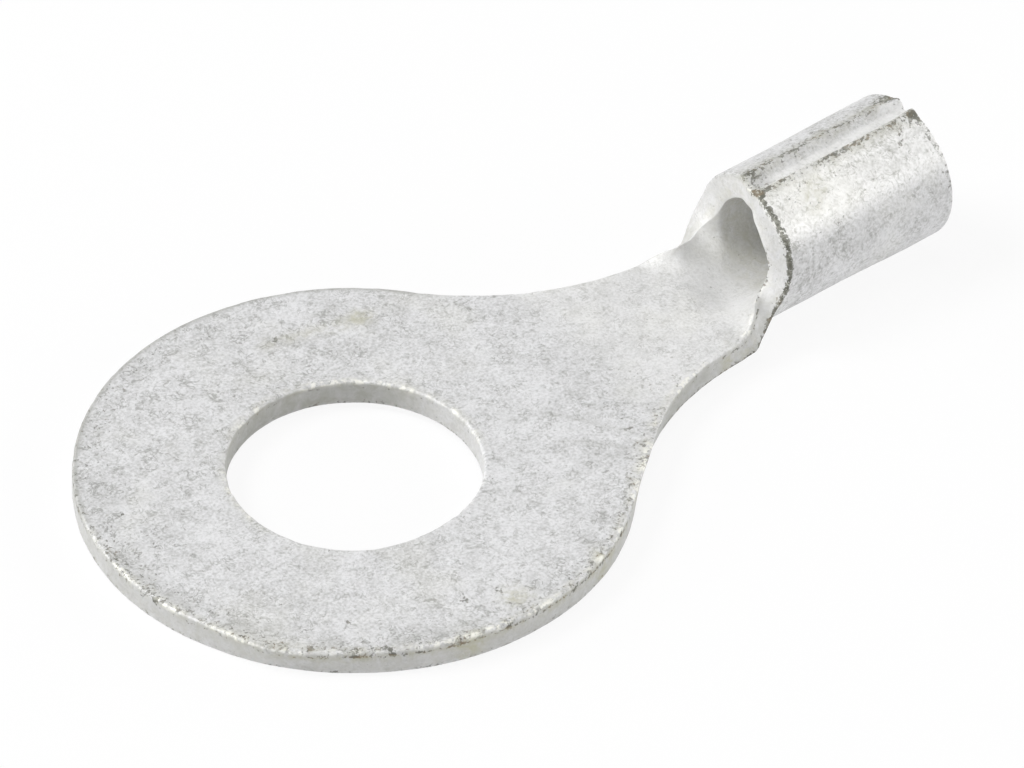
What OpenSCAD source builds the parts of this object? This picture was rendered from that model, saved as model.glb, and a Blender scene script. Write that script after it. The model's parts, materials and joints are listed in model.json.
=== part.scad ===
// Bare crimp ring terminal: one sheet of tinned copper, stamped with a ring tongue,
// joggled at the neck and rolled into a wire barrel with a butt seam on top.
// Millimetres. The stud hole's centre on the underside of the tongue is the origin,
// the barrel points along +X and the top of the tongue faces +Z.

/* [Sheet] */
// Thickness of the sheet
sheet = 0.7; // [0.4:0.05:1.5]
// Rounding that the punch leaves on the top edge of the stud hole
punch_r = 0.08; // [0.02:0.01:0.2]

/* [Ring tongue] */
// Outer diameter of the ring
ring_od = 14; // [9:0.1:24]
// Diameter of the stud hole
stud_d = 6.4; // [3.2:0.1:8.4]

/* [Neck] */
// Width of the neck
neck_w = 3.95; // [3:0.05:6]
// How far the neck and the barrel stand off the ring's centre line, towards -Y
neck_shift = 0.45; // [0:0.05:1]
// Radius of the concave fillets between the ring and the neck
neck_r = 8; // [2:0.1:14]
// From the edge of the ring to the front of the barrel
neck_len = 5.45; // [4:0.1:12]
// Length over which the flat neck curls up into the barrel
trough_len = 1.5; // [1:0.1:3]
// Length of the shear's curve from the side of the neck to the front of the barrel
corner_len = 0.9; // [0.5:0.05:1.2]
// Angle round the barrel, from its underside, up to which this curve reaches
corner_turn = 133; // [115:1:160]

/* [Barrel] */
// Outer diameter of the barrel
barrel_od = 3.95; // [3.2:0.05:7]
// Length of the barrel
barrel_len = 5.4; // [3:0.1:12]
// How far the barrel hangs below the underside of the tongue
barrel_drop = 0.32; // [0:0.02:1]
// Width of the groove that the seam's two edges leave on top
seam_w = 0.72; // [0.1:0.02:1]
// Depth of that groove; the two edges meet below it
seam_depth = 0.3; // [0.1:0.02:0.6]

/* [Hidden] */
ring_r = ring_od / 2;
neck_h = neck_w / 2;
barrel_r = barrel_od / 2;
bore_r = barrel_r - sheet;             // the wire's hole
mid_r = barrel_r - sheet / 2;          // the sheet's middle, rolled up
axis_z = barrel_r - barrel_drop;       // height of the barrel's axis
front_x = ring_r + neck_len;           // front of the barrel at the seam
rear_x = front_x + barrel_len;
corner_x = front_x - corner_len;       // the shear leaves the neck's side here
trough_end = front_x - 0.45 * corner_len;
trough_x = trough_end - trough_len;    // the neck is flat up to here
corner_rise = mid_r * corner_turn * PI / 180 - neck_h;  // sheet that the shear's curve takes up
tuck = 0.01;                           // the trough's ends hide this far inside
lap = 0.25;                            // and reach this far into their neighbours
rows = 24;                             // facets along the trough
cols = 28;                             // facets across it
plating = [0.80, 0.80, 0.79];

// 0 to 1, with a soft start and end
function ease(u) = u <= 0 ? 0 : u >= 1 ? 1 : u * u * (3 - 2 * u);

// Share of the barrel's curl that the sheet has at x
function curl(x) = ease((x - trough_x) / trough_len);

// Centre of a neck fillet; side is 1 on +Y and -1 on -Y
function fillet_y(side) = neck_h - side * neck_shift + neck_r;
function fillet_x(side) = sqrt(pow(ring_r + neck_r, 2) - pow(fillet_y(side), 2));

// Extra half width from the fillet, and from the curve up to the barrel's front
function fillet_w(x, side) = x >= fillet_x(side) ? 0
    : neck_r - sqrt(pow(neck_r, 2) - pow(fillet_x(side) - x, 2));
function corner_w(x) = x <= corner_x ? 0
    : corner_rise * (1 - sqrt(max(0, 1 - pow((x - corner_x) / corner_len, 2))));
function half_w(x, side) = neck_h + fillet_w(x, side) + corner_w(x);

// Point of the curled sheet: v across it from the middle, off from its mid surface
function on_sheet(x, v, off) = let (
        c = curl(x),
        mid_z = sheet / 2 - barrel_drop * c,
        r = mid_r / max(c, 0.001),
        a = v / r * 180 / PI)
    [x, (r - off) * sin(a) - neck_shift, mid_z + r - (r - off) * cos(a)];

// One cross section of the trough: its lower face, then its upper face
function trough_row(x) = let (
        left = half_w(x, 1) - tuck,
        right = half_w(x, -1) - tuck,
        off = sheet / 2 - tuck)
    [for (o = [-off, off], j = [0 : cols]) on_sheet(x, -right + (left + right) * j / cols, o)];

// The first and last rows are carried straight on, inside the neck and the barrel wall
function trough_rows() = concat(
    [[for (p = trough_row(trough_x)) p - [lap, 0, 0]]],
    [for (i = [0 : rows]) trough_row(trough_x + trough_len * i / rows)],
    [[for (p = trough_row(trough_end)) p + [lap, 0, 0]]]);

// Outline of the neck seen from above, up to where the trough starts
module neck_outline() {
    near = [for (side = [1, -1]) [fillet_x(side), fillet_y(side)] * ring_r / (ring_r + neck_r)];
    difference() {
        polygon([
            [0, 0],
            near[0],
            [trough_x, near[0].y],
            [trough_x, -near[1].y],
            [near[1].x, -near[1].y]
        ]);
        for (side = [1, -1])
            translate([fillet_x(side), side * fillet_y(side)]) circle(r = neck_r, $fn = 180);
    }
}

// Flat ring and neck, with the stud hole and its rounded top edge
module tongue() {
    difference() {
        linear_extrude(sheet) {
            circle(d = ring_od, $fn = 180);
            neck_outline();
        }
        translate([0, 0, -1]) cylinder(d = stud_d, h = sheet + 2, $fn = 120);
        translate([0, 0, sheet - punch_r]) rotate_extrude($fn = 120)
            translate([stud_d / 2 - 0.5, 0]) difference() {
                square([0.5 + punch_r, 1]);
                translate([0.5 + punch_r, 0]) circle(r = punch_r, $fn = 32);
            }
    }
}

// Stretch where the neck's sheet curls up, as one closed skin
module trough() {
    sections = trough_rows();
    n = len(sections);
    m = cols + 1;
    row = 2 * m;
    lower = [for (i = [0 : n - 2], j = [0 : cols - 1]) let (a = i * row + j)
        each [[a, a + row, a + 1], [a + 1, a + row, a + row + 1]]];
    upper = [for (i = [0 : n - 2], j = [0 : cols - 1]) let (a = i * row + m + j)
        each [[a, a + 1, a + row], [a + 1, a + row + 1, a + row]]];
    right = [for (i = [0 : n - 2]) let (a = i * row)
        each [[a, a + m, a + row], [a + m, a + row + m, a + row]]];
    left = [for (i = [0 : n - 2]) let (a = i * row + cols)
        each [[a, a + row, a + m], [a + m, a + row, a + row + m]]];
    front = [for (j = [0 : cols - 1]) each [[j, j + 1, j + m], [j + 1, j + m + 1, j + m]]];
    rear = [for (j = [0 : cols - 1]) let (a = (n - 1) * row + j)
        each [[a, a + m, a + 1], [a + 1, a + m, a + m + 1]]];
    polyhedron(
        points = [for (s = sections, p = s) p],
        faces = concat(lower, upper, right, left, front, rear),
        convexity = 6);
}

// Side view of what the shear takes off the front of the rolled wings
module shear_profile() {
    steps = 16;
    cut = [for (i = [0 : steps]) let (
            x = trough_end + (front_x - trough_end) * sin(90 * i / steps),
            a = (neck_h + corner_w(x)) / mid_r * 180 / PI)
        [x, axis_z - mid_r * cos(a)]];
    polygon(concat([[trough_end - 1, cut[0].y]], cut,
        [[front_x, axis_z + barrel_od], [trough_end - 1, axis_z + barrel_od]]));
}

// Rolled barrel along X, with its bore, the groove of the seam and its sheared front
module barrel() {
    difference() {
        translate([trough_end, -neck_shift, axis_z]) rotate([0, 90, 0]) difference() {
            cylinder(r = barrel_r, h = rear_x - trough_end, $fn = 120);
            translate([0, 0, -1])
                cylinder(r = bore_r, h = rear_x - trough_end + 2, $fn = 96);
        }
        translate([trough_end - 1, -neck_shift, axis_z]) rotate([90, 0, 90])
            linear_extrude(rear_x - trough_end + 2) polygon([
                [0, barrel_r - seam_depth],
                [seam_w, barrel_r + seam_depth],
                [-seam_w, barrel_r + seam_depth]
            ]);
        translate([0, barrel_od, 0]) rotate([90, 0, 0])
            linear_extrude(3 * barrel_od) shear_profile();
    }
}

// The whole terminal, one piece of sheet
module terminal() {
    color(plating) union() {
        tongue();
        trough();
        barrel();
    }
}

terminal();
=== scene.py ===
import json
import math

import bpy
import numpy as np
from mathutils import Matrix, Vector, kdtree, noise
from mathutils.geometry import delaunay_2d_cdt


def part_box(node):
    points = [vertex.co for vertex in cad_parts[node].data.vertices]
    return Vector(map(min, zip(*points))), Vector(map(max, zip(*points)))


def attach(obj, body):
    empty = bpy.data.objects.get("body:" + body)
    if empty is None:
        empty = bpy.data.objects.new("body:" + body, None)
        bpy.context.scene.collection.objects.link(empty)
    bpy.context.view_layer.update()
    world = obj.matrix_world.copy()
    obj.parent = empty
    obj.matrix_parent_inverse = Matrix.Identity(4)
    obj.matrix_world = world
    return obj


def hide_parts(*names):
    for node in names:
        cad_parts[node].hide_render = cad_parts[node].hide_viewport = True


# Looks of a bare crimp ring terminal. The sheet is drawn flat, as the blank that the press
# cuts: x along the terminal, v across it from the middle of the neck, o through the sheet
# from its mid surface, upwards. Every point of the blank is then folded into place.
# Lengths are millimetres until a mesh is made.

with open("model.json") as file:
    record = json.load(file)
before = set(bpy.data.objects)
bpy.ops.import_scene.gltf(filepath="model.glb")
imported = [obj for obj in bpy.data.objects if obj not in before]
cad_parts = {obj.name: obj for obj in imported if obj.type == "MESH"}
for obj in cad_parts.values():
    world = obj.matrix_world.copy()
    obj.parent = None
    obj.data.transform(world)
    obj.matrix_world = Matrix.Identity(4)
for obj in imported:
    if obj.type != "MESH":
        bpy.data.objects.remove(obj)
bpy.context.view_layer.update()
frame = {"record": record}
MM = 0.001

# ---------------------------------------------------------------- sizes from the frame

MOUNTS = {m["name"]: m for m in frame["record"]["mounts"]}
HIGH = np.array(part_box("terminal")[1]) / MM
HOLE_R = MOUNTS["stud_hole"]["dims"]["r_mm"]
SHEET = MOUNTS["stud_hole"]["dims"]["length_mm"]
BORE_R = MOUNTS["wire_barrel"]["dims"]["r_mm"]
BARREL_LEN = MOUNTS["wire_barrel"]["dims"]["length_mm"]
AXIS_Z = MOUNTS["wire_barrel"]["pos_m"][2] / MM
SHIFT = -MOUNTS["wire_barrel"]["pos_m"][1] / MM
RING_R = HIGH[1]
REAR_X = HIGH[0]
FRONT_X = REAR_X - BARREL_LEN
MID_R = BORE_R + SHEET / 2
BARREL_R = BORE_R + SHEET
DROP = BARREL_R - AXIS_Z
HALF = SHEET / 2
SEAM_V = math.pi * MID_R               # the two edges meet here

# ---------------------------------------------------------------- sizes of the blank

LEFT, RIGHT = 1, -1                    # +Y and -Y side
NECK_H = 1.975                         # half the neck's width
NECK_R = 8.0                           # fillets between ring and neck
CORNER_X = {LEFT: 11.88, RIGHT: 11.60} # the shear leaves the neck's side here
TROUGH_X, TROUGH_LEN = 10.545, 1.5     # where the flat sheet curls up
SLACK = 0.39                           # share of the curl that the left wing's root lacks
WING_FRONT = {LEFT: 12.68, RIGHT: 12.40}
WING_RISE = {LEFT: 1.15, RIGHT: 1.95}  # sheet that the shear's curve takes up
PINCH = 0.035                          # the barrel is this much slimmer at the front
GROOVE_HALF = 0.30                     # half width of the seam's groove, on the blank
GROOVE_END = {LEFT: 0.12, RIGHT: 0.24} # and at the rear
GROOVE_DEPTH = 0.17
STATION = 0.08                         # spacing of points along an edge
GRAIN = 0.095                          # spacing of points on the faces
BAND = 0.30                            # width of the worked band along an edge
EDGE_UP, EDGE_LOW = 0.085, 0.05        # rounding of an edge above and below
SEAM_ROWS = (0.06, 0.12, 0.18, 0.235, 0.28, 0.325, 0.385, 0.46)


def ease(u):
    """0 to 1 with a soft start and end."""
    u = np.clip(u, 0.0, 1.0)
    return u * u * (3 - 2 * u)


def bump(u):
    """1 at u = 0, falling to 0 at u = 1 on both sides."""
    return 1 - ease(np.abs(u))


def band(value, low, high, soft):
    """1 between low and high, with soft ends."""
    return ease((value - low) / soft + 0.5) * ease((high - value) / soft + 0.5)


def noise3(points, scale, seed=0.0):
    """Smooth noise, about -1 to 1, at points given in millimetres."""
    shift = Vector((seed, 1.7 * seed, -0.9 * seed))
    return np.array([noise.noise(Vector(p) * scale + shift) for p in points])


# ---------------------------------------------------------------- outline of the blank

def resample(points, step):
    """Evenly spaced points along a path, both ends kept."""
    points = np.array(points)
    along = np.concatenate([[0], np.cumsum(np.linalg.norm(np.diff(points, axis=0), axis=1))])
    wanted = np.linspace(0, along[-1], max(2, round(along[-1] / step) + 1))
    return np.stack([np.interp(wanted, along, points[:, i]) for i in (0, 1)], axis=1)


def arc(centre, radius, start, end, count=400):
    """Points of an arc; angles in radians."""
    a = np.linspace(start, end, count)
    return [(centre[0] + radius * math.cos(t), centre[1] + radius * math.sin(t)) for t in a]


def fillet_centre(side):
    """Centre of a neck fillet, in x and v."""
    y = side * (NECK_H + NECK_R) - SHIFT
    return math.sqrt((RING_R + NECK_R) ** 2 - y ** 2), y + SHIFT


def wing_front(side, w):
    """Front of a rolled wing, w across from the middle; both sides meet at the seam."""
    middle = (WING_FRONT[LEFT] + WING_FRONT[RIGHT]) / 2
    return WING_FRONT[side] + (middle - WING_FRONT[side]) * ease((w - SEAM_V + 0.7) / 0.7)


def wing_path(side):
    """From the side of the neck, up the shear's curve, to the seam."""
    turns = np.linspace(0, math.pi / 2, 120)
    length = WING_FRONT[side] - CORNER_X[side]
    rise = WING_RISE[side]
    curve = [(CORNER_X[side] + length * math.sin(t), NECK_H + rise * (1 - math.cos(t))) for t in turns]
    straight = np.linspace(NECK_H + rise, SEAM_V, 120)[1:]
    return curve + [(float(wing_front(side, w)), w) for w in straight]


def front_outline():
    """From the seam on the left, round the ring, to the seam on the right."""
    left = [(x, w) for x, w in reversed(wing_path(LEFT))]
    right = [(x, -w) for x, w in wing_path(RIGHT)]
    lc, rc = fillet_centre(LEFT), fillet_centre(RIGHT)
    ring = (0.0, SHIFT)
    meet_left = math.atan2(lc[1] - ring[1], lc[0])
    meet_right = math.atan2(rc[1] - ring[1], rc[0]) + 2 * math.pi
    path = left
    path += arc(lc, NECK_R, -math.pi / 2, meet_left - math.pi)
    path += arc(ring, RING_R, meet_left, meet_right, 1600)
    path += arc(rc, NECK_R, meet_right - math.pi, math.pi / 2)
    return resample(path + right, STATION)


def inward_normals(loop, wrap=0.0):
    """Unit normals to the left of a closed loop of stations; wrap is its jump in v."""
    ahead = np.roll(loop, -1, axis=0)
    behind = np.roll(loop, 1, axis=0)
    ahead[-1, 1] -= wrap
    behind[0, 1] += wrap
    along = ahead - behind
    along /= np.linalg.norm(along, axis=1)[:, None]
    return np.stack([-along[:, 1], along[:, 0]], axis=1)


# ---------------------------------------------------------------- worked edges

def edge_profile():
    """Section of an edge from the upper face to the lower: inset from the cut, and o."""
    flat = [BAND, 0.21, 0.15, 0.115]
    up = [(d, HALF) for d in flat]
    for a in np.radians([0, 22, 45, 68, 90]):
        up.append((EDGE_UP * (1 - math.sin(a)), HALF - EDGE_UP * (1 - math.cos(a))))
    top, bottom = HALF - EDGE_UP, EDGE_LOW - HALF
    wall = [(0.0, top + (bottom - top) * t) for t in (0.12, 0.3, 0.5, 0.7, 0.88)]
    low = []
    for a in np.radians([90, 60, 30, 0]):
        low.append((EDGE_LOW * (1 - math.sin(a)), EDGE_LOW * (1 - math.cos(a)) - HALF))
    return np.array(up + wall + low + [(d, -HALF) for d in reversed(flat)])


class Sheet:
    """Collects the blank's points and faces, with what the finish needs to know of each."""

    def __init__(self):
        self.points = []               # x, v, o
        self.rim = []                  # distance from the cut, 0 on the wall
        self.inward = []               # direction away from the cut, in x and v
        self.faces = []

    def add(self, x, v, o, rim=BAND, inward=(0.0, 0.0)):
        self.points.append((x, v, o))
        self.rim.append(rim)
        self.inward.append(tuple(inward))
        return len(self.points) - 1

    def band(self, loop, normals):
        """A worked edge along a closed loop of stations; returns the indices, station by row."""
        profile = edge_profile()
        ids = np.array([
            [self.add(*(p + n * d), o, d, n) for d, o in profile]
            for p, n in zip(loop, normals)
        ])
        for a, b in zip(ids, np.roll(ids, -1, axis=0)):
            for k in range(len(profile) - 1):
                self.faces.append((a[k], a[k + 1], b[k + 1], b[k]))
        return ids


def inside(points, loops):
    """Even-odd test of points against closed loops."""
    hit = np.zeros(len(points), bool)
    for loop in loops:
        for p, q in zip(loop, np.roll(loop, -1, axis=0)):
            if p[1] == q[1]:
                continue
            spans = (p[1] > points[:, 1]) != (q[1] > points[:, 1])
            cross = p[0] + (points[:, 1] - p[1]) * (q[0] - p[0]) / (q[1] - p[1])
            hit ^= spans & (points[:, 0] < cross)
    return hit


def lattice(low, high, step):
    """Triangular lattice of points over a rectangle."""
    rows = np.arange(low[1], high[1], step * math.sqrt(3) / 2)
    cols = np.arange(low[0], high[0], step)
    return np.array([(x + (j % 2) * step / 2, v) for j, v in enumerate(rows) for x in cols])


def keep_clear(points, others, gap):
    """Those points that lie at least gap from all the others."""
    tree = kdtree.KDTree(len(others))
    for i, p in enumerate(others):
        tree.insert((p[0], p[1], 0), i)
    tree.balance()
    return np.array([p for p in points if tree.find((p[0], p[1], 0))[2] >= gap])


def cut_edges():
    """The blank's three closed cuts (front, hole and rear), each with its inward normals."""
    front = front_outline()[:-1]       # the last station is the first, across the seam
    hole = resample(arc((0, SHIFT), HOLE_R, 0, -2 * math.pi, 1200), STATION)[:-1]
    across = np.linspace(-SEAM_V, SEAM_V, round(2 * SEAM_V / STATION) + 1)[:-1]
    rear = np.stack([np.full(len(across), REAR_X), across], axis=1)
    return (
        (front, inward_normals(front, 2 * SEAM_V)),
        (hole, inward_normals(hole)),
        (rear, np.tile([-1.0, 0.0], (len(rear), 1))),
    )


def free_points(front, seam_x, borders):
    """Points spread over the faces inside the borders, in rows beside the seam."""
    rows = np.array([
        (x, side * (SEAM_V - w)) for side in (LEFT, RIGHT) for w in SEAM_ROWS for x in seam_x])
    field = lattice(front.min(0), (REAR_X, front[:, 1].max()), GRAIN)
    strip = (field[:, 0] > FRONT_X) & (np.abs(field[:, 1]) > SEAM_V - SEAM_ROWS[-1] - 0.05)
    free = np.concatenate([field[~strip], rows])
    free = free[inside(free, borders)]
    return keep_clear(free, np.concatenate(borders), 0.6 * GRAIN)


def triangulate(outer, hole, free):
    """Triangles between the borders, as indices into outer, hole and free put together."""
    blank = np.concatenate([outer, hole, free])
    n, m = len(outer), len(hole)
    edges = [(i, (i + 1) % n) for i in range(n)] + [(n + i, n + (i + 1) % m) for i in range(m)]
    made = delaunay_2d_cdt([Vector(p) for p in blank], edges, [], 0, 1e-7)
    origin = np.array([o[0] for o in made[3]])
    triangles = origin[np.array(made[2])]
    return triangles[inside(blank[triangles].mean(axis=1), [outer, hole])]


def build_sheet():
    """The whole blank as one closed skin, its seam already joined."""
    sheet = Sheet()
    cuts = cut_edges()
    bands = [sheet.band(loop, normals) for loop, normals in cuts]
    front, hole, rear = (loop + normals * BAND for loop, normals in cuts)
    start, end = front[0, 0], rear[0, 0]
    seam_x = np.linspace(start, end, round(BARREL_LEN / STATION))[1:-1]
    left, right = (
        np.stack([seam_x, np.full(len(seam_x), side * SEAM_V)], axis=1) for side in (LEFT, RIGHT))
    outer = np.concatenate([front, [[start, -SEAM_V]], right, rear, [[end, SEAM_V]], left[::-1]])
    free = free_points(cuts[0][0], seam_x, [outer, hole])
    triangles = triangulate(outer, hole, free)

    for row, o in ((0, HALF), (-1, -HALF)):
        front_ids, hole_ids, rear_ids = (list(ids[:, row]) for ids in bands)
        shared = [sheet.add(*p, o) for p in right]
        ids = front_ids + front_ids[:1] + shared + rear_ids + rear_ids[:1] + shared[::-1]
        ids += hole_ids + [sheet.add(*p, o) for p in free]
        for t in triangles:
            a, b, c = (ids[i] for i in t)
            sheet.faces.append((a, b, c) if o > 0 else (a, c, b))
    return sheet


# ---------------------------------------------------------------- folding

def curl(x, v):
    """Share of the barrel's curl at a place of the blank."""
    late = 0.05 * ease(-v / NECK_H)
    slack = ease((x - 11.3) / 0.7) * ease((12.75 - x) / 0.55) * ease(v / NECK_H)
    return ease((x - late - TROUGH_X) / TROUGH_LEN) - SLACK * slack * (1 - ease((v - 2.6) / 0.8))


def fold(blank):
    """Rolls the blank's points into place, in the row frame."""
    x, v, o = blank.T
    c = curl(x, v)
    r = MID_R / np.maximum(c, 0.001)
    a = v / r
    o = o + PINCH * c * ease((REAR_X - 0.8 - x) / 3)
    y = (r - o) * np.sin(a) - SHIFT
    z = HALF - DROP * c + r - (r - o) * np.cos(a)
    return np.stack([x, y, z], axis=1)


def groove(blank):
    """How far the seam's groove lowers the outside of the barrel, and its lips lift it."""
    x, v, o = blank.T
    w = SEAM_V - np.abs(v)
    at_rear = ease((x - REAR_X + 0.9) / 0.9)
    narrow = np.where(v > 0, GROOVE_END[LEFT], GROOVE_END[RIGHT])
    half = GROOVE_HALF + (narrow - GROOVE_HALF) * at_rear
    on_barrel = ease((x - FRONT_X + 0.6) / 0.3)
    depth = GROOVE_DEPTH * (1 - ease((w / half - 0.35) / 0.6))
    lip = 0.03 + 0.05 * at_rear
    depth = depth - lip * bump((w - 1.15 * half) / 0.24)
    return on_barrel * depth * (HALF - o) / SHEET


# ---------------------------------------------------------------- wear of the shape

def sharpen_wings(blank, rim, inward):
    """The wings' cuts keep crisp edges, where the punch rounds those of the ring."""
    near = (blank[:, 2] >= HALF - EDGE_UP - 1e-6) & (rim <= EDGE_UP + 1e-6)
    crisp = 0.85 * ease((blank[:, 0] - CORNER_X[RIGHT] + 0.6) / 0.5) * near
    blank[:, :2] -= inward * (rim * crisp)[:, None]
    blank[:, 2] += crisp * (HALF - blank[:, 2])


def shear_slant(blank, rim):
    """How far the right wing's cut leans forward at its inner edge."""
    x, v, o = blank.T
    lean = 0.22 * bump((v + 3.6) / 1.6) * (x < FRONT_X + 1)
    return lean * (o + HALF) / SHEET * (1 - ease(rim / BAND))


def corner_burr(blank, rim):
    """The point that the shear leaves below, where the right wing's root turns up."""
    x, v, o = blank.T
    corner = bump((x - CORNER_X[RIGHT] + 0.52) / 0.24) * (v < 0)
    return 0.08 * corner * ease(0.5 - o / SHEET) * (1 - ease(rim / BAND))


def torn_share(x, y):
    """How ragged the punch left the top edge, by place round the ring and its hole."""
    angle = np.degrees(np.arctan2(y, x)) % 360
    at_hole = np.hypot(x, y) < (RING_R + HOLE_R) / 2
    share = np.where(at_hole, 0.7 - 0.7 * band(angle, 190, 335, 20), band(angle, 165, 335, 25))
    neck = 0.8 * band(x, 6.0, 11.9, 0.8) * (y < -SHIFT)
    return np.maximum(share * (1 - ease((x - 6) / 2)), neck)


def work_edges(blank, rim, inward):
    """Leans, waves, burrs and nicks the cut edges of the blank."""
    sharpen_wings(blank, rim, inward)
    at = np.stack([blank[:, 0], blank[:, 1], 0 * rim], axis=1)
    o = blank[:, 2]
    upper = bump(rim / 0.17) * ease((o - HALF + 0.17) / 0.1)
    lower = bump(rim / 0.10) * ease((-o - HALF + 0.12) / 0.08)
    torn = 0.12 + 0.88 * torn_share(at[:, 0], at[:, 1] - SHIFT)
    blade = 1 - ease((at[:, 0] - CORNER_X[RIGHT]) / 0.4)
    wavy = 0.008 * noise3(at, 0.55, 3.0)
    rough = 0.006 * noise3(np.stack([at[:, 0], at[:, 1], 1.5 * o], axis=1), 2.6, 8.0)
    nick = ease((noise3(at, 2.3, 11.0) - 0.12) / 0.35)
    crest = noise3(at, 1.1, 17.0)
    nugget = noise3(at, 5.5, 41.0)
    push = wavy + rough * (1 - ease(rim / 0.1)) + 0.012 * nick * upper + 0.012 * crest * lower
    push -= shear_slant(blank, rim) + corner_burr(blank, rim)
    blank[:, :2] += inward * push[:, None]
    blank[:, 2] += blade * upper * torn * (0.010 + 0.010 * crest + 0.030 * nugget - 0.032 * nick)
    blank[:, 2] -= 0.008 * lower * crest


# Hollows in the top of the ring: x, y, radius and depth
PITS = (
    (-5.1, -0.75, 0.13, 0.030), (-4.75, -2.9, 0.14, 0.032), (-4.5, -3.05, 0.10, 0.022),
    (-0.3, -5.85, 0.16, 0.035), (-5.65, 2.1, 0.12, 0.025), (-5.75, 0.75, 0.13, 0.025),
    (6.2, -3.25, 0.12, 0.025), (-3.85, -4.45, 0.18, 0.022), (-2.0, -4.9, 0.10, 0.020),
    (1.5, 5.0, 0.28, 0.020), (-1.7, 3.9, 0.12, 0.018), (3.0, -4.9, 0.10, 0.020),
)


def seam_filler(x, v):
    """1 where solder and dirt lie in lumps at the front of the seam."""
    w = SEAM_V - np.abs(v)
    return bump((w - 0.05) / 0.5) * bump((x - FRONT_X - 0.2) / 0.9)


def relief(blank):
    """Unevenness of the rolled faces, and the pits."""
    x, v, o = blank.T
    placed = fold(blank)
    swell = 0.011 * noise3(placed, 0.45, 21.0) + 0.007 * noise3(placed, 1.3, 25.0)
    swell += 0.0045 * noise3(placed, 3.4, 29.0)
    swell += 0.035 * seam_filler(x, v) * noise3(placed, 3.6, 33.0)
    top = o > 0.6 * HALF
    for px, py, radius, depth in PITS:
        away = np.hypot(x - px, v - SHIFT - py) / radius
        swell -= np.where(top, depth * bump(away), 0)
    return swell * np.clip(np.abs(o) / HALF, 0, 1) ** 4 * np.sign(o)


# ---------------------------------------------------------------- where the dirt lies, and where highlight and shade are painted

# Single marks that stand out, in millimetres
RIM_SPOTS = (154, 187, 208, 215, 222, 231, 238, 244, 252, 263, 281, 300)    # degrees from +X
RIM_SPOT_IN, RIM_SPOT_DEPTH, RIM_SPOT_R = 0.03, 0.07, 0.17
BARREL_SPOTS = (                       # x, turn, radius
    (14.15, 51, 0.10), (13.10, 26, 0.10), (12.90, 21, 0.09), (13.50, 23, 0.11), (13.80, 20, 0.10),
    (16.95, 26, 0.12), (17.0, 22, 0.12), (16.80, 30, 0.10), (16.45, 36, 0.09),
    (17.55, -15, 0.26), (13.3, 8, 0.16), (12.55, 7, 0.18), (12.6, 3, 0.16), (12.3, -6, 0.18),
    (17.60, 14, 0.13),
)
TOP_SPOTS = (                          # x, y, radius
    (-5.1, -0.75, 0.16), (-4.75, -2.9, 0.16), (-4.5, -3.05, 0.12), (-0.3, -5.85, 0.22),
    (-5.65, 2.1, 0.16), (-5.75, 0.75, 0.16), (6.2, -3.25, 0.14), (-3.85, -4.45, 0.16),
    (1.5, 5.0, 0.26), (-1.8, 3.1, 0.22), (-0.7, 3.9, 0.2), (-1.1, -5.6, 0.25),
)
SMEARS = (                             # from x, y to x, y, half width
    (4.9, -1.35, 5.7, -2.55, 0.16), (5.7, -2.55, 6.2, -3.5, 0.14), (4.55, -2.5, 5.3, -3.25, 0.18),
    (5.3, -3.25, 5.8, -3.9, 0.16), (1.5, 4.5, 2.75, 4.35, 0.11), (1.35, 5.2, 1.7, 4.75, 0.28),
    (0.25, 5.1, 0.25, 4.2, 0.10), (5.85, 0.95, 5.9, 0.5, 0.11), (3.3, 4.6, 3.95, 4.0, 0.20),
    (2.6, 5.2, 3.5, 5.1, 0.16), (-4.9, -3.2, -5.2, -2.2, 0.12),
)
MOTTLED = (                            # x, y, radius
    (2.0, 5.05, 0.9), (3.3, 5.0, 0.7), (-1.5, 4.6, 1.0), (-6.3, -1.6, 0.7), (-5.3, -3.8, 0.8),
    (-2.9, -5.9, 0.9), (-2.0, -5.2, 0.6), (-5.6, 2.9, 0.9), (5.0, -3.6, 0.9), (6.1, -2.2, 0.7),
    (0.6, -6.1, 0.7), (3.6, -5.3, 0.8), (5.6, 1.0, 0.6),
)


def on_barrel(turn, radius):
    """A place on the barrel; turn is in degrees from the seam towards -Y."""
    t = math.radians(turn)
    return -SHIFT - radius * math.sin(t), AXIS_Z + radius * math.cos(t)


def spots(placed, places):
    """1 in the middle of each place (x, y, z, radius), falling to 0 at its edge."""
    total = np.zeros(len(placed))
    for x, y, z, radius in places:
        total = np.maximum(total, bump(np.linalg.norm(placed - (x, y, z), axis=1) / radius))
    return total


def smears(placed):
    """1 along each smear on the top of the ring, falling to 0 at its sides."""
    total = np.zeros(len(placed))
    for ax, ay, bx, by, reach in SMEARS:
        start, span = np.array([ax, ay]), np.array([bx - ax, by - ay])
        along = np.clip((placed[:, :2] - start) @ span / (span @ span), 0, 1)
        away = np.linalg.norm(placed[:, :2] - start - along[:, None] * span, axis=1)
        total = np.maximum(total, bump(away / reach))
    return total


def ring_angle(placed):
    """Direction round the ring, in degrees from +X towards +Y, 0 to 360."""
    return np.degrees(np.arctan2(placed[:, 1], placed[:, 0])) % 360


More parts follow.
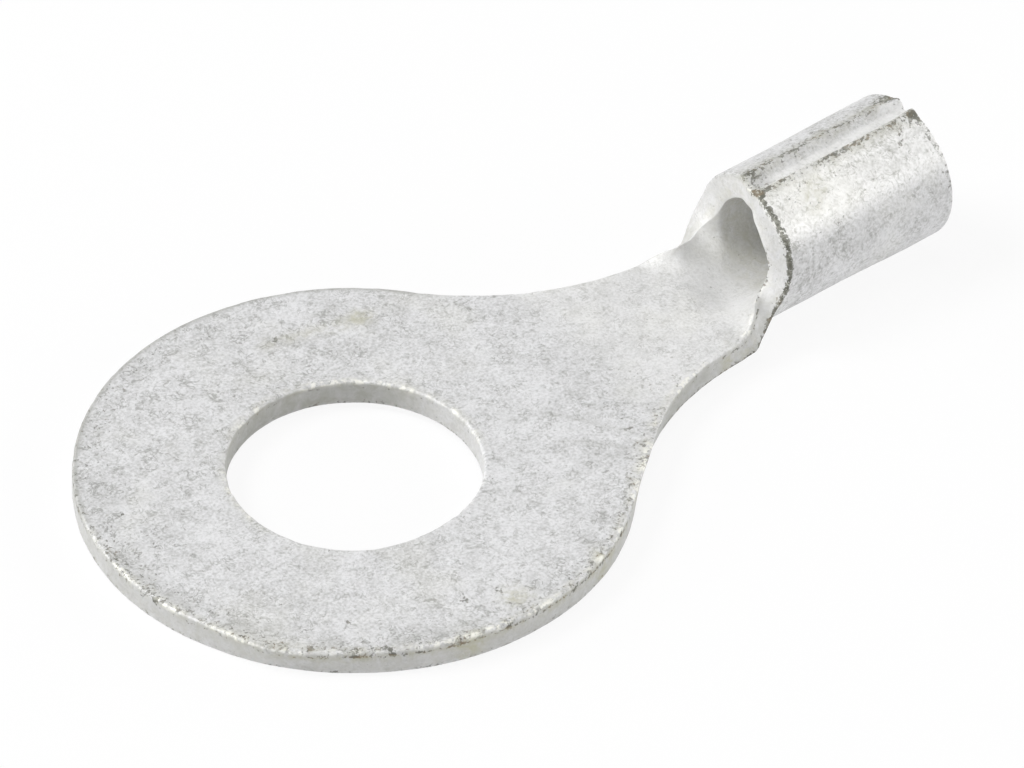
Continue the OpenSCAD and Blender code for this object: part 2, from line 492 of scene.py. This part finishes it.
class Places:
    """The regions of the blank's skin that the wear and the painted highlight and shade refer to, each 0
    to 1.
    """

    def __init__(self, blank, placed, rim):
        x, v, o = blank.T
        self.x, self.v, self.o, self.rim, self.placed = x, v, o, rim, placed
        self.w = SEAM_V - np.abs(v)                     # from the seam
        self.upper = ease((o - HALF + 0.25) / 0.2)      # top face, and inside of the barrel
        self.outer = ease((-o - HALF + 0.25) / 0.2)     # underside, and outside of the barrel
        self.blade = ease((9.5 - x) / 2)
        self.barrel = ease((x - FRONT_X + 0.3) / 0.3)
        self.angle = ring_angle(placed)
        self.radius = np.hypot(placed[:, 0], placed[:, 1])
        self.turn = np.degrees(np.arctan2(-SHIFT - placed[:, 1], placed[:, 2] - AXIS_Z))
        self.wall = (1 - ease((rim - 0.01) / 0.05)) * ease((HALF - 0.02 - np.abs(o)) / 0.05)
        self.hole = self.blade * (self.radius < (RING_R + HOLE_R) / 2)
        self.wing = (x > CORNER_X[RIGHT] - 0.05) & (x < FRONT_X + 1)


def seam_dirt(at):
    """The two broken lines of dirt along the seam's edges, and on their rear ends."""
    uneven = 0.9 + 0.5 * noise3(np.stack([at.x, 0 * at.x, np.sign(at.v)], axis=1), 1.6, 51.0)
    far_line = (0.42 * bump((at.w - 0.34) / 0.18) + 0.30 * bump((at.w - 0.38) / 0.36)) * (at.v > 0)
    near_line = (0.42 * bump((at.w - 0.30) / 0.18) + 0.30 * bump((at.w - 0.34) / 0.36)) * (at.v < 0)
    far_line = far_line * (1 - 0.4 * ease((at.x - 16.6) / 0.5))
    lobes = 0.30 * bump((at.w - 0.40) / 0.40) * ease((at.x - REAR_X + 0.8) / 0.4)
    return (uneven * (far_line + near_line) + lobes) * at.outer * at.barrel


def edge_dirt(at):
    """Broken dark lines below the top edge and along the foot of the cut walls."""
    x, v, o, rim = at.x, at.v, at.o, at.rim
    under_edge = bump((o - HALF + 0.16) / 0.10) * (1 - ease(rim / 0.05)) * ~at.wing
    under_edge *= 0.50 + 0.45 * band(at.angle, 222, 310, 20) + 0.6 * band(x, 9.8, 12.5, 0.8) * (v < 0)
    foot = bump((o + HALF - 0.05) / 0.14) * (1 - ease(rim / 0.07)) * (x < CORNER_X[RIGHT] + 0.2)
    foot *= 0.62 + 0.50 * band(x, 6.0, 12.5, 1.0) * (v < 0)
    foot *= 0.9 + 0.6 * noise3(at.placed, 2.4, 81.0)
    return 0.75 * under_edge + foot


def wing_dirt(at):
    """Dark lines along both edges of the right wing's cut."""
    arris = np.hypot(at.rim, at.o + HALF)
    along = band(at.v, -5.2, -1.9, 0.4) * at.wing
    outer_line = 1.25 * along * (1 - ease((arris - 0.065) / 0.09))
    inner = np.hypot(at.rim, at.o - HALF)
    inner_line = 0.75 * band(at.v, -3.6, -1.9, 0.6) * at.wing * (1 - ease((inner - 0.03) / 0.06))
    return outer_line + inner_line


def speckled_dirt(at):
    """Loose specks on the ring's top, denser towards its rim, its hole and torn edges."""
    near_rim = band(at.angle, 95, 345, 30) * ease((at.radius - RING_R + 1.3) / 1.2)
    far_rim = band(at.angle, 75, 190, 25) * ease((at.radius - RING_R + 2.4) / 1.8)
    ragged = 0.30 * torn_share(at.placed[:, 0], at.placed[:, 1]) * bump((at.rim - 0.14) / 0.22)
    near_hole = 0.20 * band(at.angle, 215, 330, 25) * bump((at.radius - HOLE_R - 0.12) / 0.38)
    return ((0.24 * near_rim + 0.16 * far_rim + near_hole) * at.blade + ragged) * at.upper


def dark_spots():
    """The single dark marks, as x, y, z and radius."""
    places = [(x, y, SHEET, 1.2 * r) for x, y, r in TOP_SPOTS]
    places += [(x, *on_barrel(turn, BARREL_R), 1.3 * r) for x, turn, r in BARREL_SPOTS]
    reach, height = RING_R - RIM_SPOT_IN, SHEET - RIM_SPOT_DEPTH
    for a in np.radians(RIM_SPOTS):
        places.append((reach * math.cos(a), reach * math.sin(a), height, RIM_SPOT_R))
    return places


def dirt_amount(at):
    """How thickly dark specks lie, 0 for hardly any to 1 for a solid line."""
    rear_edge = 0.42 * at.outer * (1 - ease((at.rim - 0.05) / 0.25)) * ease((at.x - REAR_X + 0.6) / 0.2)
    filler = 0.5 * seam_filler(at.x, at.v) * at.outer
    left_side = 0.17 * band(at.turn, -80, -8, 20) * at.outer * at.barrel
    near_side = 0.18 * band(at.turn, 8, 70, 15) * at.outer * at.barrel
    face = 0.06 * at.wall * at.wing
    lines = edge_dirt(at) + seam_dirt(at) + wing_dirt(at) + rear_edge
    total = lines + speckled_dirt(at) + filler + left_side + near_side + face
    return np.clip(total + 0.8 * spots(at.placed, dark_spots()), 0, 1.2)


def mottle_amount(at):
    """Where dark curls crowd: inside the ring's rim, on its far side, and in patches."""
    patches = 0.55 + 0.8 * ease((noise3(at.placed, 0.9, 61.0) + 0.15) / 0.5)
    inside_rim = 0.8 * band(at.angle, 90, 290, 40) * ease((at.radius - RING_R + 1.1) / 0.7)
    far_half = 0.32 * band(at.angle, 40, 190, 30)
    near_hole = 0.35 * bump((at.radius - HOLE_R) / 0.9)
    places = [(x, y, SHEET, radius) for x, y, radius in MOTTLED]
    top = (inside_rim + far_half + near_hole) * patches + 0.7 * spots(at.placed, places)
    rolled = 0.35 * band(at.turn, 4, 75, 12) + 0.4 * band(at.turn, -85, -10, 12)
    return np.clip(top * at.upper * at.blade + rolled * at.outer * at.barrel, 0, 1)


def film_and_painted_shade_amount(at):
    """A thin grey-olive layer over whole regions, and painted shade: the cut walls of the rim, the hole
    (most on its far side) and the neck, the barrel's low side, the wing's cut face towards its foot, the
    roots of the wings and the ring's far edge are greyed as shade.
    """
    # Painted shade on the cut walls of the hole, rim and neck, most where they face the near side, away
    # from the lamps.
    hole_wall = at.wall * at.hole * (0.15 + 0.85 * band(at.angle, 25, 185, 40))
    rim_wall = (0.48 + 0.10 * band(at.angle, 240, 310, 25)) * at.wall * (at.hole < 0.5) * (at.x < 5)
    neck_wall = (0.88 - 0.48 * ease((at.x - 8.8) / 1.5)) * at.wall * (at.x > 5) * (at.v < 0) * ~at.wing
    far_side = 0.14 * band(at.turn, -120, -12, 12) * at.outer * at.barrel
    band_front = 0.25 * (1 - ease((at.x - 12.7) / 0.8)) * bump(at.w / 0.4) * at.outer * at.barrel
    along_seam = 0.38 * bump((at.w - 0.36) / 0.26) * at.outer * at.barrel
    # Painted shade on the barrel's low side and on the wing's cut face near its foot.
    low_side = 0.16 * band(at.turn, 55, 92, 25) * at.outer * at.barrel
    low_face = 0.5 * ease((1.6 - at.placed[:, 2]) / 0.6) * at.wall * at.wing
    # Painted shade that dims the lamps' highlight on the wings' roots and on the ring's far edge.
    roots = 0.25 * band(at.x, 10.6, 12.2, 0.8) * band(np.abs(at.v), 1.3, 2.4, 0.8) * at.upper
    roots = roots * (1 + 0.8 * (at.v < 0))
    far_edge = 0.85 * bump((at.rim - 0.06) / 0.14) * at.upper * band(at.angle, 35, 160, 15)
    far_edge = far_edge * (at.hole < 0.5)
    inside_rim = bump((RING_R - at.radius - 0.32) / 0.34) * band(at.angle, 175, 262, 25) * at.upper
    inside_rim = 0.32 * inside_rim * ease((noise3(at.placed, 1.2, 71.0) + 0.35) / 0.5)
    rubbed = 0.30 * smears(at.placed) * at.upper
    parts = [hole_wall, rim_wall, neck_wall, far_side, band_front, along_seam, low_side, low_face]
    return np.clip(sum(parts) + roots + far_edge + inside_rim + rubbed, 0, 1)


def tarnish_and_painted_shade_amount(at):
    """Olive and yellow tarnish, and painted shade: the inside of the barrel is tinted a darker olive."""
    x = at.x
    # Painted shade: a darker olive over the whole inside of the barrel.
    inside_barrel = 0.7 * ease((x - TROUGH_X - 1.2) / 1.6) * ease((at.o + 0.1) / 0.3)
    along_seam = 0.5 * bump((at.w - 0.35) / 0.35) * at.outer * at.barrel
    streak = 0.5 * band(x, 1.0, 3.9, 0.6) * bump((at.placed[:, 1] - 5.35 + 0.27 * x) / 0.45) * at.upper
    places = [
        (-0.1, -6.3, SHEET, 0.7), (3.8, 4.4, SHEET, 0.5), (10.3, -2.4, 0.3, 0.6), (10.8, -2.4, 0.3, 0.6),
        (13.7, *on_barrel(35, BARREL_R), 0.55), (14.0, *on_barrel(28, BARREL_R), 0.5),
        (12.5, *on_barrel(2, BARREL_R), 0.5), (2.6, -6.5, 0.4, 0.7), (-1.9, -6.75, 0.35, 0.6),
    ]
    under_edge = 0.9 * bump((at.o - HALF + 0.19) / 0.13) * (1 - ease(at.rim / 0.06))
    under_edge *= band(at.angle, 215, 325, 20) * at.blade
    crest = torn_share(x, at.placed[:, 1]) * bump((at.rim - 0.1) / 0.22) * at.upper * at.blade
    total = inside_barrel + along_seam + 0.22 * at.wall + streak + under_edge + 0.5 * crest
    return np.clip(total + 1.3 * spots(at.placed, places), 0, 1.3)


def painted_highlight_amount(at):
    """Painted highlight: the colour is made brighter and creamier on the barrel's lit band, along the
    groove's floor, on the neck and on the left wing's cut face.
    """
    rolled = 1.1 * band(at.turn, 8, 58, 22) * (1 - 0.30 * ease((at.x - 14) / 3))
    neck = 0.32 * ease((at.x - 6.5) / 2.0) * at.upper * (1 - 0.5 * ease((at.x - 11.8) / 1.2))
    face = 0.3 * at.wall * at.wing * (at.v > 0)
    groove_floor = 0.7 * bump(at.w / 0.24) * ease((at.x - 12.9) / 0.6)
    return np.clip((rolled + groove_floor) * at.outer * at.barrel + neck + face, 0, 1.1)


def calm_amount(at):
    """Where the plating is smooth: the cut walls, the trough and the barrel's inside."""
    hollow = 0.62 * ease((at.x - TROUGH_X + 0.1) / 0.9) * at.upper
    groove_floor = 0.6 * bump(at.w / 0.24) * at.outer * at.barrel
    neck = 0.28 * ease((at.x - 6.0) / 2.0) * at.upper
    return np.clip(np.maximum.reduce([0.6 * at.wall, hollow, groove_floor, neck]), 0, 1)


def burr_and_painted_glint_amount(at):
    """The torn crest of the edges that the punch left, the foot of the right wing's cut and the lumps at
    the seam's front: their bump is real, and the near-white colour laid on them is a painted glint.
    """
    crest = bump((at.rim - 0.04) / 0.15) * ease((at.o - HALF + 0.11) / 0.07)
    share = 0.1 + 0.9 * torn_share(at.placed[:, 0], at.placed[:, 1])
    share *= 1 - 0.5 * band(at.angle, 222, 248, 12) * at.blade
    foot = bump(at.rim / 0.08) * ease((-at.o - HALF + 0.06) / 0.05) * at.wing * (at.v < 0)
    lumps = 0.8 * bump((at.x - 12.6) / 0.4) * bump(at.w / 0.45) * at.outer
    return np.clip(crest * share + 0.9 * foot + lumps, 0, 1)


# What the material reads, by the name of the mesh's attribute
MASKS = {
    "dirt": dirt_amount,
    "film_and_painted_shade": film_and_painted_shade_amount,
    "mottle": mottle_amount,
    "tarnish_and_painted_shade": tarnish_and_painted_shade_amount,
    "painted_highlight": painted_highlight_amount,
    "burr_and_painted_glint": burr_and_painted_glint_amount,
    "calm": calm_amount,
}


def set_mask(mesh, name, values):
    """Stores one value per point for the material to read."""
    mask = mesh.attributes.new(name, "FLOAT", "POINT")
    mask.data.foreach_set("value", values.astype(np.float32))


def make_terminal():
    """The terminal's visible mesh, with its masks."""
    sheet = build_sheet()
    blank = np.array(sheet.points)
    rim = np.array(sheet.rim)
    work_edges(blank, rim, np.array(sheet.inward))
    flat = blank.copy()
    blank[:, 2] += relief(flat) + groove(flat)
    placed = fold(blank)
    mesh = bpy.data.meshes.new("terminal_body")
    mesh.from_pydata((placed * MM).tolist(), [], [tuple(int(i) for i in f) for f in sheet.faces])
    mesh.shade_smooth()
    at = Places(flat, placed, rim)
    for name, amount in MASKS.items():
        set_mask(mesh, name, amount(at))
    piece = bpy.data.objects.new("terminal_body", mesh)
    bpy.context.scene.collection.objects.link(piece)
    return piece


# ---------------------------------------------------------------- the metal

class Graph:
    """A material's node tree, filled by short calls that return sockets."""

    def __init__(self, name):
        self.material = bpy.data.materials.new(name)
        self.material.use_nodes = True
        self.tree = self.material.node_tree
        self.tree.nodes.clear()

    def node(self, kind, **settings):
        made = self.tree.nodes.new(kind)
        for key, value in settings.items():
            setattr(made, key, value)
        return made

    def put(self, socket, value):
        """Links a socket, or sets a constant."""
        if isinstance(value, bpy.types.NodeSocket):
            self.tree.links.new(value, socket)
        else:
            socket.default_value = value

    def math(self, operation, *values):
        """One Math node; values are numbers or sockets."""
        made = self.node("ShaderNodeMath", operation=operation)
        for socket, value in zip(made.inputs, values):
            self.put(socket, value)
        return made.outputs[0]

    def mask(self, name):
        """A value stored on the mesh."""
        return self.node("ShaderNodeAttribute", attribute_name=name).outputs["Fac"]

    def add(self, *values):
        total = values[0]
        for value in values[1:]:
            total = self.math("ADD", total, value)
        return total

    def times(self, *values):
        total = values[0]
        for value in values[1:]:
            total = self.math("MULTIPLY", total, value)
        return total

    def noise(self, at, scale, detail=2.0, roughness=0.5, distortion=0.0):
        made = self.node("ShaderNodeTexNoise")
        self.put(made.inputs["Vector"], at)
        made.inputs["Scale"].default_value = scale
        made.inputs["Detail"].default_value = detail
        made.inputs["Roughness"].default_value = roughness
        made.inputs["Distortion"].default_value = distortion
        return made.outputs["Fac"]

    def swing(self, at, scale, amount, detail=2.0, roughness=0.5):
        """Noise round 0, amount being its full range."""
        return self.times(self.math("SUBTRACT", self.noise(at, scale, detail, roughness), 0.5), amount)

    def curls(self, at, scale, width, bend=1.0):
        """Thin curled lines, where noise crosses its middle."""
        away = self.math("ABSOLUTE", self.math("SUBTRACT", self.noise(at, scale, 1.5, 0.5, bend), 0.5))
        return self.span(away, width, 0.2 * width)

    def span(self, value, low, high):
        """0 at low to 1 at high, clamped and smooth."""
        made = self.node("ShaderNodeMapRange", interpolation_type="SMOOTHSTEP")
        for socket, setting in zip(made.inputs, (value, low, high)):
            self.put(socket, setting)
        return made.outputs[0]

    def stretched(self, at, turn, squeeze):
        """The same place, turned and drawn out, so that noise becomes streaks."""
        made = self.node("ShaderNodeMapping")
        self.put(made.inputs["Vector"], at)
        made.inputs["Rotation"].default_value = (0, 0, math.radians(turn))
        made.inputs["Scale"].default_value = squeeze
        return made.outputs[0]

    def brighten(self, colour, factor):
        """The colour times a factor."""
        made = self.node("ShaderNodeHueSaturation")
        self.put(made.inputs["Color"], colour)
        self.put(made.inputs["Value"], factor)
        return made.outputs[0]

    def blend(self, share, low, high):
        """Colour mix; low and high are colours or sockets."""
        made = self.node("ShaderNodeMix", data_type="RGBA")
        self.put(made.inputs["Factor"], share)
        self.put(made.inputs["A"], low)
        self.put(made.inputs["B"], high)
        return made.outputs["Result"]


def frosted_tone(g, at, mottle):
    """Frosty tin: pale flecks and curls, dark curls and hollows, about 0 to 1."""
    turned = g.stretched(at, 40, (1, 1, 1))
    pale = g.times(g.curls(at, 4.2, 0.05, 1.2), g.span(g.noise(at, 1.9, 2.0), 0.36, 0.60))
    dull = g.times(g.curls(turned, 2.6, 0.045, 1.6), g.span(g.noise(turned, 1.5, 2.0), 0.50, 0.60))
    worms = g.times(g.curls(turned, 5.0, 0.06, 0.9), g.span(g.noise(at, 3.1, 1.0), 0.54, 0.61))
    hollows = g.span(g.noise(turned, 2.7, 3.0, 0.6), 0.44, 0.26)
    fleck = g.swing(at, 13.0, 0.90)
    grain = g.swing(at, 6.5, 0.62, 3.0, 0.6)
    patches = g.swing(at, 1.7, 0.45, 3.0, 0.6)
    clouds = g.swing(at, 0.6, 0.55, 4.0, 0.6)
    tone = g.add(0.55, fleck, grain, patches, clouds, g.times(pale, 0.30))
    tone = g.math("SMOOTH_MIN", tone, 0.80, 0.40)
    lines = g.times(g.add(dull, worms), g.math("MULTIPLY_ADD", mottle, -0.24, -0.31))
    return g.add(tone, lines, g.times(hollows, -0.26), g.times(mottle, -0.12))


def speck_cover(g, at, dirt):
    """1 under a dark speck; more of them where there is dirt."""
    coarse = g.noise(at, 3.6, 2.0, 0.55, 0.5)
    small = g.noise(at, 11.0, 2.0, 0.6, 0.3)
    both = g.add(g.times(coarse, 0.33), g.times(small, 0.67))
    least = g.math("SUBTRACT", 0.655, g.times(dirt, 0.215))
    return g.span(both, least, g.add(least, 0.055))


def scratches(g, at):
    """A few straight hairlines in three directions."""
    total = None
    for turn, squeeze in ((18, (0.35, 9, 1)), (-38, (0.5, 11, 1)), (80, (0.4, 10, 1))):
        streak = g.noise(g.stretched(at, turn, squeeze), 1.0, 2.0, 0.5)
        gap = g.noise(g.stretched(at, turn, (0.5, 0.5, 0.5)), 1.0, 1.0)
        line = g.times(g.span(streak, 0.70, 0.76), g.span(gap, 0.52, 0.62))
        total = line if total is None else g.math("MAXIMUM", total, line)
    return total


# Colours of the metal and of what lies on it, and of the painted highlight, glints and shade
DULL_TIN = (0.36, 0.36, 0.352, 1)
PALE_TIN = (0.822, 0.822, 0.835, 1)
# Cream of the painted highlight
PAINTED_HIGHLIGHT_CREAM = (0.90, 0.875, 0.70, 1)
STRAW = (0.70, 0.69, 0.52, 1)
# Grey of the thin layer on the tin, also laid on as painted shade
GREY_FILM_AND_SHADE = (0.31, 0.31, 0.286, 1)
# Olive of the tarnish, also laid on as painted shade inside the barrel
OLIVE_TARNISH_AND_SHADE = (0.40, 0.385, 0.24, 1)
# Near-white of the torn crests: painted glints
TORN_TIN_AND_GLINT = (0.93, 0.92, 0.84, 1)
SCRATCH = (0.30, 0.30, 0.29, 1)
SOOT = (0.085, 0.085, 0.062, 1)
RUST = (0.20, 0.15, 0.09, 1)
DUST = (0.30, 0.30, 0.26, 1)


def plated_colour(g, at, masks):
    """Bare plating from dull to pale, with a painted highlight that makes it brighter and creamier in
    places.
    """
    painted_highlight = masks["painted_highlight"]
    contrast = g.math("SUBTRACT", 1.0, masks["calm"])
    tone = g.times(g.math("SUBTRACT", frosted_tone(g, at, masks["mottle"]), 0.56), contrast)
    # Painted highlight: the tone, a cream tint and the value all rise with this mask.
    tone = g.add(tone, 0.57, g.times(painted_highlight, 0.14))
    colour = g.blend(tone, DULL_TIN, PALE_TIN)
    colour = g.blend(g.times(painted_highlight, 0.12), colour, PAINTED_HIGHLIGHT_CREAM)
    colour = g.brighten(colour, g.math("MULTIPLY_ADD", painted_highlight, 0.18, 1.0))
    warm = g.span(g.noise(at, 0.5, 3.0), 0.50, 0.30)
    return g.blend(g.times(warm, 0.07), colour, STRAW)


def tarnished(g, colour, smear, masks):
    """The colour under its thin grey-olive layer and its olive tarnish, each of which also carries
    painted shade.
    """
    film_and_shade = g.times(masks["film_and_painted_shade"], g.add(0.6, g.times(g.span(smear, 0.25, 0.75), 0.4)))
    colour = g.blend(g.times(film_and_shade, 0.9), colour, GREY_FILM_AND_SHADE)
    olive = g.times(masks["tarnish_and_painted_shade"], g.span(smear, 0.30, 0.70))
    return g.blend(g.times(olive, 0.50), colour, OLIVE_TARNISH_AND_SHADE)


def grime_colour(g, smear, nuggets, tarnish_and_painted_shade):
    """Colour of the dark specks: soot, rust where the tin is stained, and dust."""
    rust = g.span(g.add(smear, g.times(tarnish_and_painted_shade, 0.10)), 0.52, 0.72)
    return g.blend(g.span(nuggets, 0.45, 0.70), g.blend(rust, SOOT, RUST), DUST)


def fine_relief(g, at, torn, lines, speck):
    """Bump of the grain, the torn crests, the scratches and the specks."""
    height = g.add(g.noise(at, 9.0, 3.0, 0.65), g.noise(at, 2.2, 3.0, 0.6), g.times(torn, 0.5))
    height = g.add(height, g.times(lines, -0.25), g.times(speck, -0.5))
    bumps = g.node("ShaderNodeBump")
    bumps.inputs["Strength"].default_value = 1.0
    bumps.inputs["Distance"].default_value = 0.015 * MM
    g.put(bumps.inputs["Height"], height)
    return bumps.outputs[0]


def tin_material():
    """Matt tin plating over copper: grain, clouds, specks, scratches, dirt and tarnish, with painted
    highlight, glints and shade.
    """
    g = Graph("tinned_copper")
    place = g.node("ShaderNodeTexCoord").outputs["Object"]
    at = g.stretched(place, 0, (1 / MM, 1 / MM, 1 / MM))
    masks = {name: g.mask(name) for name in MASKS}
    smear = g.noise(at, 2.6, 4.0, 0.7, 0.8)
    nuggets = g.noise(at, 6.0, 2.0, 0.6)
    # Torn crests: a real bump, and painted glints where they are laid near-white.
    torn = g.times(masks["burr_and_painted_glint"], g.span(nuggets, 0.44, 0.58), g.span(g.noise(at, 1.3, 2.0), 0.42, 0.58))
    lines = scratches(g, at)
    speck = speck_cover(g, at, masks["dirt"])

    colour = tarnished(g, plated_colour(g, at, masks), smear, masks)
    # Painted glints along the torn crests
    colour = g.blend(g.times(torn, 0.80), colour, TORN_TIN_AND_GLINT)
    colour = g.blend(g.times(lines, 0.2), colour, SCRATCH)
    grime = grime_colour(g, smear, nuggets, masks["tarnish_and_painted_shade"])
    colour = g.blend(g.times(speck, g.add(0.42, g.times(masks["dirt"], 0.42))), colour, grime)
    roughness = g.add(0.55, g.swing(at, 7.0, 0.3), g.times(masks["painted_highlight"], -0.08), g.times(speck, 0.2))

    shader = g.node("ShaderNodeBsdfPrincipled")
    g.put(shader.inputs["Base Color"], colour)
    g.put(shader.inputs["Roughness"], roughness)
    g.put(shader.inputs["Normal"], fine_relief(g, at, torn, lines, speck))
    shader.inputs["Metallic"].default_value = 0.15
    out = g.node("ShaderNodeOutputMaterial")
    g.put(out.inputs["Surface"], shader.outputs[0])
    return g.material


# ---------------------------------------------------------------- studio

def make_floor():
    """A plain pale floor that the barrel's underside and the ring's far edge rest on."""
    touch_x = TROUGH_X + TROUGH_LEN
    slope = math.atan2(DROP, touch_x + RING_R)
    size = 1.5
    mesh = bpy.data.meshes.new("floor")
    corners = [(-size, -size, 0), (size, -size, 0), (size, size, 0), (-size, size, 0)]
    mesh.from_pydata(corners, [], [(0, 1, 2, 3)])
    floor = bpy.data.objects.new("floor", mesh)
    floor.location = (-RING_R * MM, 0, 0)
    floor.rotation_euler = (0, slope, 0)
    bpy.context.scene.collection.objects.link(floor)
    return floor


def white_where_seen(tree):
    """1 for a ray from the camera, or one mirrored or let through by the object."""
    path = tree.nodes.new("ShaderNodeLightPath")
    total = None
    for name in ("Is Camera Ray", "Is Glossy Ray", "Is Transmission Ray"):
        if total is None:
            total = path.outputs[name]
            continue
        both = tree.nodes.new("ShaderNodeMath")
        both.operation = "MAXIMUM"
        tree.links.new(total, both.inputs[0])
        tree.links.new(path.outputs[name], both.inputs[1])
        total = both.outputs[0]
    return total


def floor_material():
    """White where the camera sees it, apart from the shadow."""
    material = bpy.data.materials.new("pale_floor")
    material.use_nodes = True
    tree = material.node_tree
    tree.nodes.clear()
    out = tree.nodes.new("ShaderNodeOutputMaterial")
    diffuse = tree.nodes.new("ShaderNodeBsdfDiffuse")
    diffuse.inputs["Color"].default_value = (0.9, 0.9, 0.9, 1)
    glow = tree.nodes.new("ShaderNodeEmission")
    glow.inputs["Strength"].default_value = 1.0
    mix = tree.nodes.new("ShaderNodeMixShader")
    share = tree.nodes.new("ShaderNodeMath")
    share.operation = "MULTIPLY"
    share.inputs[1].default_value = 0.9
    tree.links.new(white_where_seen(tree), share.inputs[0])
    tree.links.new(share.outputs[0], mix.inputs[0])
    tree.links.new(diffuse.outputs[0], mix.inputs[1])
    tree.links.new(glow.outputs[0], mix.inputs[2])
    tree.links.new(mix.outputs[0], out.inputs[0])
    return material


def make_world():
    """Faint even light, white where it is seen."""
    world = bpy.data.worlds.new("studio")
    bpy.context.scene.world = world
    world.use_nodes = True
    tree = world.node_tree
    tree.nodes.clear()
    out = tree.nodes.new("ShaderNodeOutputWorld")
    soft = tree.nodes.new("ShaderNodeBackground")
    soft.inputs["Strength"].default_value = 0.05
    seen = tree.nodes.new("ShaderNodeBackground")
    seen.inputs["Strength"].default_value = 1.0
    for node in (soft, seen):
        node.inputs["Color"].default_value = (1, 1, 1, 1)
    mix = tree.nodes.new("ShaderNodeMixShader")
    tree.links.new(white_where_seen(tree), mix.inputs[0])
    tree.links.new(soft.outputs[0], mix.inputs[1])
    tree.links.new(seen.outputs[0], mix.inputs[2])
    tree.links.new(mix.outputs[0], out.inputs[0])


def area_lamp(name, azimuth, elevation, distance, size, power):
    """A soft box aimed at the middle of the object; azimuth and elevation in degrees."""
    a, e = math.radians(azimuth), math.radians(elevation)
    back = Vector((math.sin(a) * math.cos(e), -math.cos(a) * math.cos(e), math.sin(e)))
    middle = Vector(((REAR_X - RING_R) / 2 * MM, 0, 0))
    data = bpy.data.lights.new(name, "AREA")
    data.shape = "DISK"
    data.size = size
    data.energy = power
    lamp = bpy.data.objects.new(name, data)
    lamp.location = middle + back * distance
    lamp.rotation_mode = "QUATERNION"
    lamp.rotation_quaternion = back.to_track_quat("Z", "Y")
    bpy.context.scene.collection.objects.link(lamp)
    return lamp


LAMP_AWAY, LAMP_SIZE = 0.6, 0.30       # metres
# Soft boxes round the object: azimuth, elevation and power in watts
LAMPS = {
    "left_box": (-131, 12, 1.2),
    "high_left_box": (-131, 50, 2.4),
    "right_box": (94, 12, 0.9),
    "near_right_box": (49, 12, 1.15),
    "back_box": (-176, 25, 0.4),
    "front_box": (4, 12, 0.4),
    "low_front_box": (-41, 12, 0.7),
    "high_front_box": (-41, 42, 0.2),
    "top_box": (-41, 88, 0.8),
}


def make_lamps():
    """All soft boxes, alike but for their place and power."""
    for name, (azimuth, elevation, power) in LAMPS.items():
        area_lamp(name, azimuth, elevation, LAMP_AWAY, LAMP_SIZE, power)


VIEW_ANGLES = (-40.97, 39.7, 1.31)     # azimuth, elevation and roll in degrees
VIEW_TARGET = (5.6, 0.578, 0.0)        # millimetres
VIEW_AWAY = 192.74
SENSOR, LENS = 36.0, 268.4             # millimetres, on the camera's own scale


def make_camera():
    """The view from the front left, above, that the ring and the seam are both seen in."""
    azimuth, elevation, roll = (math.radians(a) for a in VIEW_ANGLES)
    target = Vector(VIEW_TARGET) * MM
    distance = VIEW_AWAY * MM
    back = Vector((
        math.sin(azimuth) * math.cos(elevation),
        -math.cos(azimuth) * math.cos(elevation),
        math.sin(elevation)))
    right = Vector((math.cos(azimuth), math.sin(azimuth), 0))
    up = back.cross(right)
    turned_right = math.cos(roll) * right + math.sin(roll) * up
    turned_up = -math.sin(roll) * right + math.cos(roll) * up
    axes = Matrix((turned_right, turned_up, back)).transposed()
    data = bpy.data.cameras.new("camera")
    data.sensor_width = SENSOR
    data.lens = LENS
    data.clip_start = 0.01
    camera = bpy.data.objects.new("camera", data)
    camera.matrix_world = Matrix.Translation(target + back * distance) @ axes.to_4x4()
    bpy.context.scene.collection.objects.link(camera)
    bpy.context.scene.camera = camera


# ---------------------------------------------------------------- the scene

make_camera()
make_world()
make_lamps()
make_floor().data.materials.append(floor_material())
bpy.context.scene.view_settings.view_transform = "Standard"

terminal = make_terminal()
terminal.data.materials.append(tin_material())
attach(terminal, "root")
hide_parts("terminal")
